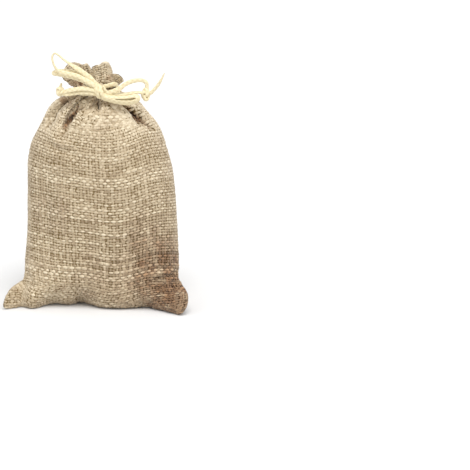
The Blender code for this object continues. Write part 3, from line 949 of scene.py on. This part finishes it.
def pressed(p):
    """Presses the creases in, and the cloth's own small unevenness."""
    v, u = np.meshgrid(np.arange(NV + 1) / NV * LONG, np.arange(NU) / NU * ROUND, indexing="ij")
    out = np.zeros(v.shape)
    for first, middle, last, width, depth in CREASES:
        t = np.linspace(0, 1, 60)[:, None]
        first, middle, last = (np.array(q) for q in (first, middle, last))
        bend = 2 * middle - (first + last) / 2
        line = (1 - t) ** 2 * first + 2 * t * (1 - t) * bend + t * t * last
        near = np.full(v.shape, 1e9)
        at = np.zeros(v.shape)
        for k, (cu, cv) in enumerate(line):
            du = (u - cu + ROUND / 2) % ROUND - ROUND / 2
            d = np.hypot(du, v - cv)
            closer = d < near
            near = np.where(closer, d, near)
            at = np.where(closer, k / 59, at)
        ends = np.clip(np.minimum(at, 1 - at) * 5, 0, 1) ** 0.7
        out += depth * np.exp(-((near / width) ** 2)) * (0.15 + 0.85 * ends)
    places = np.stack([u * 1.0, v * 1.0], -1)
    # The two deep folds beside the front's middle open as hollows, pressed
    # straight into the sack.
    inward = normals_of(p)
    for axis, reach in ((1, 26), (0, 16)):
        total = np.zeros_like(inward)
        for step in range(-reach, reach + 1):
            total += np.roll(inward, step, axis=axis) * math.exp(-((step / (reach * 0.6)) ** 2))
        inward = total
    inward = unit(inward)
    hollow = np.zeros(v.shape)
    for first, middle, last, width, depth in HOLLOWS:
        t = np.linspace(0, 1, 60)[:, None]
        first, middle, last = (np.array(q) for q in (first, middle, last))
        line = (1 - t) ** 2 * first + 2 * t * (1 - t) * (2 * middle - (first + last) / 2) + t * t * last
        near, at = np.full(v.shape, 1e9), np.zeros(v.shape)
        for k, (cu, cv) in enumerate(line):
            d = np.hypot((u - cu + ROUND / 2) % ROUND - ROUND / 2, v - cv)
            at = np.where(d < near, k / 59, at)
            near = np.minimum(d, near)
        leaf = np.sin(np.pi * np.clip(0.12 + 0.8 * at, 0, 1)) ** 0.7
        hollow += depth * np.exp(-np.abs(near / (width * (0.4 + 0.6 * leaf))) ** 2.6) * leaf
    wide = ease((v - 6) / 10) * ease((128 - v) / 8)
    seam = np.minimum(1, np.minimum(u, ROUND - u) / 6) * np.minimum(1, np.abs(u - 100) / 6)
    out += wide * seam * (0.30 * waves(11, places, 34.0) + 0.13 * waves(12, places, 13.0))
    return p + normals_of(p) * out[..., None] - inward * hollow[..., None]


def grid_faces(rows, cols):
    k, j = np.meshgrid(np.arange(rows - 1), np.arange(cols), indexing="ij")
    a = k * cols + j
    b = k * cols + (j + 1) % cols
    return np.stack([a, b, b + cols, a + cols], -1).reshape(-1, 4)


grid = pressed(settle(grid, 16))
grid[..., 2] = np.maximum(grid[..., 2], 0.88)
normal = normals_of(grid)


def cloth_at(u, v):
    """Points and normals of the cloth, at u and v in millimetres."""
    a = np.asarray(u) / ROUND * NU
    b = np.clip(np.asarray(v) / LONG * NV, 0, NV - 1e-6)
    i, k = np.floor(a).astype(int), np.floor(b).astype(int)
    s, t = (a - i)[..., None], (b - k)[..., None]
    i0, i1 = i % NU, (i + 1) % NU

    def read(field):
        return (
            field[k, i0] * (1 - s) * (1 - t)
            + field[k, i1] * s * (1 - t)
            + field[k + 1, i0] * (1 - s) * t
            + field[k + 1, i1] * s * t
        )

    n = read(normal)
    return read(grid), n / np.maximum(np.linalg.norm(n, axis=-1, keepdims=True), 1e-9)


# ------------------------------------------------------------------ the threads
WARPS, WEFTS = 114, 103
RISE = 0.25  # how far a thread goes over and under, each way
SIDES = 5


# Wefts that stand out: v, from u, to u, how much paler or, below 0, darker.
PALE_WEFTS = (
    (35.7, 126.0, 172.0, 0.10),
    (37.1, 134.0, 176.0, -0.14),
    (38.6, 130.0, 172.0, 0.12),
    (41.5, 140.0, 176.0, -0.16),
    (43.0, 144.0, 174.0, 0.26),
    (47.3, 130.0, 174.0, -0.14),
    (54.6, 130.0, 172.0, -0.18),
    (56.1, 138.0, 170.0, 0.34),
    (61.9, 126.0, 160.0, -0.26),
    (63.3, 118.0, 184.0, 0.34),
    (64.8, 130.0, 186.0, -0.22),
    (67.7, 136.0, 168.0, 0.18),
    (69.2, 138.0, 172.0, 0.22),
    (70.6, 146.0, 180.0, -0.20),
    (73.5, 142.0, 168.0, -0.26),
    (75.0, 144.0, 190.0, 0.22),
    (84.5, 136.0, 168.0, 0.20),
    (88.1, 128.0, 168.0, -0.34),
    (89.6, 130.0, 172.0, 0.22),
    (93.0, 120.0, 176.0, 0.12),
    (118.0, 138.0, 176.0, 0.20),
    (120.6, 140.0, 180.0, 0.24),
    (123.2, 142.0, 178.0, 0.20),
    (24.0, 150.0, 186.0, 0.14),
    (34.0, 116.0, 150.0, 0.12),
    (57.0, 20.0, 80.0, 0.15),
    (90.0, 30.0, 70.0, 0.15),
    (28.0, 30.0, 90.0, 0.12),
)

# Where the jute is painted browner: centre, radius and how much. The wide patches are stains; the small spots by the
# neck are painted shade, partly brown jute too.
STAIN_AND_SHADE = (
    # x, y, z, radius, amount
    (43.0, -24.0, 6.0, 19.0, 1.0),
    (33.0, -20.0, 20.0, 17.0, 0.76),
    (27.0, -24.0, 36.0, 13.0, 0.45),
    (8.0, -22.0, 10.0, 22.0, 0.25),
    # Painted shade, partly brown jute: under the left cord, in the hollows of the three slits and under the bow.
    (-15.0, -9.0, 107.5, 2.6, 0.5),
    (14.8, -6.9, 103.2, 1.5, 0.9),
    (16.4, -6.7, 101.0, 1.5, 1.6),
    (18.0, -6.7, 99.2, 1.5, 1.6),
    (20.0, -6.9, 97.8, 1.5, 1.1),
    (22.4, -7.0, 95.8, 1.4, 0.75),
    (25.0, -7.6, 93.8, 1.3, 0.55),
    (-10.2, -11.6, 104.4, 0.8, 1.2),
    (-11.4, -11.0, 102.4, 0.9, 1.5),
    (-12.6, -11.2, 100.8, 1.0, 1.7),
    (-13.6, -11.2, 99.5, 1.1, 1.8),
    (-14.9, -10.8, 98.0, 1.1, 1.7),
    (-16.2, -11.5, 96.2, 1.1, 1.2),
    (-17.0, -13.2, 94.9, 1.2, 0.7),
    (-0.9, -8.0, 106.7, 0.7, 1.4),
    (-0.3, -8.5, 105.4, 0.8, 1.6),
    (0.3, -10.0, 103.9, 0.8, 1.8),
    (1.5, -13.0, 104.1, 0.6, 1.4),
    (-2.4, -11.0, 108.3, 1.0, 0.5),
    (2.4, -8.5, 106.6, 1.1, 0.45),
    (-18.0, -4.6, 106.6, 2.4, 0.6),
    # Painted shade, partly brown jute: inside the frill and under its lobes.
    (2.0, -8.6, 120.5, 2.0, 0.45),
    (5.8, -6.6, 119.0, 1.8, 0.55),
    (-10.0, 3.2, 122.4, 2.6, 1.0),
    (-12.5, -7.4, 116.8, 2.6, 0.6),
    (-8.8, -8.4, 116.2, 1.3, 1.5),
    (-0.6, -6.8, 116.4, 1.8, 0.45),
    # Wide, faint stains.
    (-24.0, -20.0, 52.0, 10.0, 0.15),
    (10.0, 24.0, 60.0, 24.0, 0.25),
    (-20.0, 22.0, 20.0, 20.0, 0.2),
)


# Stains, and painted shade at the neck, read as one mask.
def stain_and_shade_at(p):
    stain_and_shade = np.zeros(p.shape[:-1])
    for cx, cy, cz, radius, amount in STAIN_AND_SHADE:
        d = np.linalg.norm((p - np.array([cx, cy, cz])) / np.array([1, 1.2, 1]), axis=-1)
        stain_and_shade = np.maximum(stain_and_shade, amount * ease(1.6 - d / radius))
    return stain_and_shade


def wander(seed, count, at, lengths, sizes):
    """For each of `count` threads, its own smooth unevenness along itself."""
    rng = np.random.default_rng(seed)
    out = np.zeros((count, len(at)))
    for length, size in zip(lengths, sizes):
        for _ in range(4):
            wave = TAU / length * rng.uniform(0.6, 1.6, (count, 1))
            out += size * 0.7 * np.sin(at[None, :] * wave + rng.uniform(0, TAU, (count, 1)))
    return out


def threads(kind):
    """Centre lines, sideways and outward directions and radii of all the warps
    or wefts, each as an array of threads by points."""
    seed = 21 if kind == "warp" else 43
    rng = np.random.default_rng(seed)
    if kind == "warp":
        count, across, steps = WARPS, WEFTS, 3 * WEFTS
        along_ = np.linspace(0.25, LONG - 0.1, steps + 1)
        at = (np.arange(count) + 0.5) / count * ROUND
        cell = along_ / LONG * across - 0.5
    else:
        count, across, steps = WEFTS, WARPS, 3 * WARPS
        along_ = np.arange(steps) / steps * ROUND
        at = (np.arange(count) + 0.5) / count * LONG
        cell = along_ / ROUND * across - 0.5
    pitch = (ROUND if kind == "warp" else LONG) / count
    aside = wander(seed + 1, count, along_, (40.0, 12.0), (0.07, 0.05)) * pitch
    if kind == "weft":
        # A closed ring, so the unevenness closes too.
        aside *= np.sin(np.pi * along_ / ROUND)[None, :] ** 0.5
    place = at[:, None] + aside
    place = np.clip(place, 0.5, LONG - 0.45) if kind == "weft" else place
    run = np.broadcast_to(along_, place.shape)
    u, v = (place, run) if kind == "warp" else (run, place)
    p, n = cloth_at(u, v)
    over = np.cos(np.pi * cell)[None, :] * np.where(np.arange(count) % 2, -1.0, 1.0)[:, None]
    over = over if kind == "warp" else -over
    thick = rng.uniform(0.82, 1.16, (count, 1)) * (
        1 + wander(seed + 2, count, along_, (26.0, 7.0, 3.2), (0.08, 0.09, 0.07))
    )
    # Slubs: a thread swells for some millimetres.
    for _ in range(150):
        who = rng.integers(count)
        where = rng.uniform(0, LONG if kind == "warp" else ROUND)
        thick[who] += rng.uniform(0.2, 0.5) * np.exp(-(((along_ - where) / rng.uniform(2, 7)) ** 2))
    thick = np.clip(thick, 0.6, 1.6)
    # Where the folds crowd the threads, each is squeezed narrower.
    if kind == "warp":
        gap = np.linalg.norm(np.roll(p, -1, axis=0) - np.roll(p, 1, axis=0), axis=-1) / 2
    else:
        gap = np.linalg.norm(np.gradient(p, axis=0), axis=-1)
    squeeze = np.clip(gap / pitch, 0.45, 1.4)
    p = p + n * (over * RISE * np.clip(squeeze, 0.7, 1.0))[..., None]
    if kind == "warp":
        tangent = np.empty_like(p)
        tangent[:, 1:-1] = p[:, 2:] - p[:, :-2]
        tangent[:, 0], tangent[:, -1] = p[:, 1] - p[:, 0], p[:, -1] - p[:, -2]
    else:
        tangent = np.roll(p, -1, axis=1) - np.roll(p, 1, axis=1)
    tangent /= np.maximum(np.linalg.norm(tangent, axis=-1, keepdims=True), 1e-9)
    side = np.cross(tangent, n)
    side /= np.maximum(np.linalg.norm(side, axis=-1, keepdims=True), 1e-9)
    up = np.cross(side, tangent)
    tone = rng.normal(0, 1, (count, 1)) * (0.05 if kind == "warp" else 0.10) + wander(seed + 3, count, along_, (30.0, 8.0, 2.6), (0.035, 0.05, 0.05))
    # Thicker threads are paler, and each thread is painted paler where it rides over and darker where it dips under:
    # painted highlight and shade.
    tone += 0.10 * (thick - 1.0) + 0.05 * over
    # The warps are darker than the wefts.
    tone += -0.09 if kind == "warp" else 0.06
    if kind == "weft":
        # A few paler and darker threads stand out across the front.
        for v0, first, last, pale in PALE_WEFTS:
            who = int(round(v0 / LONG * WEFTS - 0.5))
            inside = ease((along_ - first) / 6) * ease((last - along_) / 6)
            tone[who] += 0.6 * pale * inside
            thick[who] *= 1 + (0.10 if pale > 0 else -0.12) * inside
    # The frill and the shoulders are painted paler than the belly, the outer shoulders, the right most, paler still:
    # painted highlight where the cloth faces up to the light.
    tone += 0.20 * ease((v - 136.0) / 4.0) + 0.09 * ease((v - 96.0) / 22.0) - 0.05
    outer = ease((np.abs(p[..., 0]) - 9.0) / 6.0) * ease((112.0 - p[..., 2]) / 5.0)
    tone += np.where(p[..., 0] < 0, 0.09, 0.17) * outer * ease((p[..., 2] - 86.0) / 12.0)
    # The lower middle of the front is painted a little darker: painted shade.
    tone -= 0.03 * ease((16.0 - np.abs(p[..., 0] - 2.0)) / 12.0) * ease((80.0 - p[..., 2]) / 16.0)
    stain_and_shade = stain_and_shade_at(p)
    # Where the mask passes 1, in the slits' hollows, the threads are painted darker still: painted shade.
    tone -= 0.8 * np.clip(stain_and_shade - 1.0, 0, 1)
    patchy = 1 + 0.30 * waves(62, p, 7.0, dims=3) + rng.normal(0, 1, (count, 1)) * 0.12
    stain_and_shade = np.clip(stain_and_shade * patchy, 0, 1) + 0.12 * waves(61, p, 14.0, dims=3)
    return p, side, up, thick, tone, stain_and_shade, squeeze


def thread_mesh(name, kind, data, who, wide, high, closed):
    """One mesh of the chosen threads, each a flattened tube, with its own strip
    in the map, and a second map that tells thread and place apart."""
    p, side, up, thick, tone, stain_and_shade, squeeze = (d[who] for d in data)
    count, steps = p.shape[:2]
    angle = (np.arange(SIDES) + 0.5) / SIDES * TAU + np.pi / 2
    ring = (
        side[:, :, None] * (np.cos(angle)[:, None] * wide / 2) * squeeze[:, :, None, None]
        + up[:, :, None] * (np.sin(angle)[:, None] * high / 2)
    ) * thick[:, :, None, None]
    verts = (p[:, :, None] + ring).reshape(-1, 3) * MM
    verts[:, 2] = np.maximum(verts[:, 2], 0.00002)  # flattened by the floor
    spans = steps if closed else steps - 1
    t, k, j = np.meshgrid(np.arange(count), np.arange(spans), np.arange(SIDES), indexing="ij")
    k1, j1 = (k + 1) % steps, (j + 1) % SIDES
    base = t * steps
    faces = np.stack(
        [(base + k) * SIDES + j, (base + k1) * SIDES + j, (base + k1) * SIDES + j1, (base + k) * SIDES + j1], -1
    ).reshape(-1, 4)
    obj = make_mesh(name, verts, faces)
    mesh = obj.data
    if len(mesh.polygons) != len(faces):
        print(name, "lost faces:", len(faces) - len(mesh.polygons))
    # The strips' places in the map.
    low_k, high_k = k / spans, (k + 1) / spans
    low_j, high_j = j / SIDES, (j + 1) / SIDES
    corners_l = np.stack([low_k, high_k, high_k, low_k], -1).reshape(-1, 4)
    corners_w = np.stack([low_j, low_j, high_j, high_j], -1).reshape(-1, 4)
    thread = np.repeat(np.arange(count), spans * SIDES)[:, None]
    bake = mesh.uv_layers.new(name="OFBake")
    uv = np.stack([0.002 + 0.996 * corners_l, (thread + 0.06 + 0.88 * corners_w) / count], -1)
    bake.data.foreach_set("uv", uv.astype(np.float32).ravel())
    real = mesh.uv_layers.new(name="thread")
    whole = (LONG if kind == "warp" else ROUND)
    index = np.arange(WARPS + WEFTS)[who] + (500 if kind == "weft" else 0)
    uv = np.stack([corners_l * whole, index[thread] * 4.0 + corners_w * 3.0], -1)
    real.data.foreach_set("uv", uv.astype(np.float32).ravel())
    for label, values in (("tone", tone), ("stain_and_shade", stain_and_shade)):
        layer = mesh.attributes.new(label, "FLOAT", "POINT")
        layer.data.foreach_set("value", np.repeat(values.ravel(), SIDES).astype(np.float32))
    return obj


warp_data, weft_data = threads("warp"), threads("weft")
front = np.zeros(WARPS, bool)
front[WARPS // 2 :] = True
low = np.zeros(WEFTS, bool)
low[: WEFTS // 2] = True
yarns = [
    thread_mesh("warps_front", "warp", warp_data, np.where(front)[0], 1.50, 0.64, False),
    thread_mesh("warps_back", "warp", warp_data, np.where(~front)[0], 1.50, 0.64, False),
    thread_mesh("wefts_low", "weft", weft_data, np.where(low)[0], 1.26, 0.70, True),
    thread_mesh("wefts_high", "weft", weft_data, np.where(~low)[0], 1.26, 0.70, True),
]

# A dark sheet under the threads, seen only through the gaps between them: its colour is painted shade.
sheet = make_mesh("sack_gap_shade", grid[::2, ::2].reshape(-1, 3) * MM, grid_faces(NV // 2 + 1, NU // 2))
shade = sheet.data.attributes.new("stain_and_shade", "FLOAT", "POINT")
shade.data.foreach_set("value", stain_and_shade_at(grid[::2, ::2].reshape(-1, 3)).astype(np.float32))
thick = sheet.modifiers.new("thickness", "SOLIDIFY")
thick.thickness = 0.4 * MM
thick.offset = 0.0

# ------------------------------------------------------------------- materials
def linear(r, g, b):
    return tuple((c / 255 / 12.92 if c <= 10 else ((c / 255 + 0.055) / 1.055) ** 2.4) for c in (r, g, b)) + (1.0,)


class Nodes:
    """A short way to write a material's nodes."""

    def __init__(self, name):
        self.material = bpy.data.materials.new(name)
        self.material.use_nodes = True
        self.tree = self.material.node_tree
        self.shader = self.tree.nodes["Principled BSDF"]

    def set(self, socket, value):
        if isinstance(value, bpy.types.NodeSocket):
            self.tree.links.new(value, socket)
        else:
            socket.default_value = value

    def math(self, kind, a, b=0.0, clamp=False):
        node = self.tree.nodes.new("ShaderNodeMath")
        node.operation, node.use_clamp = kind, clamp
        self.set(node.inputs[0], a)
        self.set(node.inputs[1], b)
        return node.outputs[0]

    def mix(self, share, a, b, kind="MIX"):
        node = self.tree.nodes.new("ShaderNodeMix")
        node.data_type, node.blend_type, node.clamp_factor = "RGBA", kind, True
        self.set(node.inputs[0], share)
        self.set(node.inputs[6], a)
        self.set(node.inputs[7], b)
        return node.outputs[2]

    def map(self, name):
        node = self.tree.nodes.new("ShaderNodeUVMap")
        node.uv_map = name
        return node.outputs[0]

    def attribute(self, name):
        node = self.tree.nodes.new("ShaderNodeAttribute")
        node.attribute_type, node.attribute_name = "GEOMETRY", name
        return node.outputs["Fac"]

    def split(self, vector):
        node = self.tree.nodes.new("ShaderNodeSeparateXYZ")
        self.set(node.inputs[0], vector)
        return node.outputs

    def join(self, x, y, z=0.0):
        node = self.tree.nodes.new("ShaderNodeCombineXYZ")
        for socket, value in zip(node.inputs, (x, y, z)):
            self.set(socket, value)
        return node.outputs[0]

    def noise(self, vector, scale, detail=2.0, rough=0.5):
        node = self.tree.nodes.new("ShaderNodeTexNoise")
        self.set(node.inputs["Vector"], vector)
        node.inputs["Scale"].default_value = scale
        node.inputs["Detail"].default_value = detail
        node.inputs["Roughness"].default_value = rough
        return node.outputs[0]

    def place(self):
        return self.tree.nodes.new("ShaderNodeTexCoord").outputs["Object"]

    def bump(self, height, distance, strength=1.0):
        node = self.tree.nodes.new("ShaderNodeBump")
        node.inputs["Distance"].default_value = distance
        node.inputs["Strength"].default_value = strength
        self.set(node.inputs["Height"], height)
        self.set(self.shader.inputs["Normal"], node.outputs[0])


def burlap():
    n = Nodes("burlap_thread")
    uv = n.split(n.map("thread"))
    long, around = uv[0], uv[1]
    # Fibres lie along the thread with a slow twist.
    twisted = n.math("ADD", around, n.math("MULTIPLY", long, 0.35))
    fibres = n.noise(n.join(n.math("MULTIPLY", long, 0.55), n.math("MULTIPLY", twisted, 3.4)), 1.0, 3.0, 0.6)
    flecks = n.noise(n.join(n.math("MULTIPLY", long, 0.9), n.math("MULTIPLY", around, 0.8)), 1.0, 2.0)
    tone = n.attribute("tone")
    value = n.math("ADD", n.math("ADD", 0.5, n.math("MULTIPLY", tone, 1.35)), n.math("MULTIPLY", n.math("SUBTRACT", fibres, 0.5), 0.9))
    value = n.math("ADD", value, n.math("MULTIPLY", n.math("SUBTRACT", flecks, 0.5), 0.8), clamp=True)
    low = n.mix(n.math("MULTIPLY", value, 2.0, clamp=True), linear(*THREAD[0]), linear(*THREAD[1]))
    colour = n.mix(n.math("SUBTRACT", n.math("MULTIPLY", value, 2.0), 1.0, clamp=True), low, linear(*THREAD[2]))
    stain_and_shade = n.math("MULTIPLY", n.attribute("stain_and_shade"), 1.0, clamp=True)
    # Rust-brown by the mask: stains, and painted shade at the neck and inside the frill.
    rust_and_shade = n.mix(value, linear(*RUST_AND_SHADE[0]), linear(*RUST_AND_SHADE[1]))
    colour = n.mix(n.math("MULTIPLY", stain_and_shade, 0.92), colour, rust_and_shade)
    n.set(n.shader.inputs["Base Color"], colour)
    n.shader.inputs["Roughness"].default_value = 0.88
    n.shader.inputs["Specular IOR Level"].default_value = 0.25
    n.shader.inputs["Sheen Weight"].default_value = 0.22
    n.shader.inputs["Sheen Roughness"].default_value = 0.6
    n.bump(fibres, 0.00009)
    return n.material


THREAD = ((144, 123, 94), (188, 170, 141), (224, 210, 183))
RUST_AND_SHADE = ((48, 28, 14), (164, 122, 83))


# The sheet's dark brown is painted shade in the gaps between the threads; by the mask it goes darker still, for stains
# and for painted shade at the neck.
def gap_shade_cloth():
    n = Nodes("burlap_gap_shade")
    grain = n.noise(n.place(), 900.0, 3.0)
    clean = n.mix(grain, linear(94, 76, 48), linear(136, 116, 80))
    n.set(n.shader.inputs["Base Color"], n.mix(n.attribute("stain_and_shade"), clean, linear(54, 34, 20)))
    n.shader.inputs["Roughness"].default_value = 0.95
    n.shader.inputs["Specular IOR Level"].default_value = 0.1
    return n.material


def cotton():
    n = Nodes("cotton_cord")
    uv = n.split(n.map("cord"))
    long, around = uv[0], uv[1]
    twisted = n.math("ADD", n.math("MULTIPLY", around, 11.0), n.math("MULTIPLY", long, 0.6))
    fibres = n.noise(n.join(n.math("MULTIPLY", long, 0.35), n.math("MULTIPLY", twisted, 2.0)), 1.0, 3.0, 0.55)
    cloudy = n.noise(n.place(), 160.0, 2.0)
    plies = []
    for way in (1, -1):
        phase = n.math("ADD", n.math("MULTIPLY", around, PLIES / 2 * TAU), n.math("MULTIPLY", long, way * TAU / PLY_TURN))
        plies.append(n.math("ABSOLUTE", n.math("COSINE", phase)))
    braid = n.math("MULTIPLY", n.math("ADD", plies[0], plies[1]), 0.5)
    shade = n.math("ADD", n.math("MULTIPLY", fibres, 0.55), n.math("MULTIPLY", cloudy, 0.35))
    shade = n.math("ADD", shade, n.math("MULTIPLY", n.math("SUBTRACT", braid, 0.5), 0.5), clamp=True)
    n.set(n.shader.inputs["Base Color"], n.mix(shade, linear(*CREAM[0]), linear(*CREAM[1])))
    n.shader.inputs["Roughness"].default_value = 0.55
    n.shader.inputs["Specular IOR Level"].default_value = 0.35
    n.shader.inputs["Sheen Weight"].default_value = 0.15
    n.bump(n.math("ADD", n.math("MULTIPLY", fibres, 0.5), braid), 0.00016)
    return n.material


CREAM = ((206, 186, 140), (248, 238, 204))

mat, dark, cream = burlap(), gap_shade_cloth(), cotton()
sheet.data.materials.append(dark)
for piece in [sheet] + yarns:
    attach(piece, "root")
    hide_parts("sack")
for piece in yarns:
    piece.data.materials.append(mat)

for piece in list(cords.values()) + [bow_wraps, left_knot, right_knot]:
    piece.data.materials.append(cream)

# ------------------------------------------------------------ floor and light
floor_mesh = bpy.data.meshes.new("floor")
floor_mesh.from_pydata([(-8, -8, 0), (8, -8, 0), (8, 8, 0), (-8, 8, 0)], [], [(0, 1, 2, 3)])
floor = bpy.data.objects.new("floor", floor_mesh)
bpy.context.scene.collection.objects.link(floor)
pale = bpy.data.materials.new("floor")
pale.use_nodes = True
pale.node_tree.nodes["Principled BSDF"].inputs["Base Color"].default_value = (0.77, 0.77, 0.77, 1)
pale.node_tree.nodes["Principled BSDF"].inputs["Specular IOR Level"].default_value = 0.0
pale.node_tree.nodes["Principled BSDF"].inputs["Roughness"].default_value = 1.0
floor_mesh.materials.append(pale)

world = bpy.data.worlds.new("world")
bpy.context.scene.world = world
world.use_nodes = True
world.node_tree.nodes["Background"].inputs["Color"].default_value = (1.0, 1.0, 1.0, 1)
world.node_tree.nodes["Background"].inputs["Strength"].default_value = 0.70
for name, came_from, energy, spread in (
    ("key", (0.10, -0.56, 1.10), 1.76, 34.0),
    ("right", (0.80, -0.50, 1.05), 0.80, 60.0),
    ("left", (-0.80, -0.60, 0.45), 0.35, 60.0),
):
    sun = bpy.data.lights.new(name, "SUN")
    sun.energy, sun.angle = energy, math.radians(spread)
    lamp = bpy.data.objects.new(name, sun)
    lamp.rotation_euler = Vector(came_from).to_track_quat("Z", "Y").to_euler()
    bpy.context.scene.collection.objects.link(lamp)
bpy.context.scene.view_settings.view_transform = "Standard"
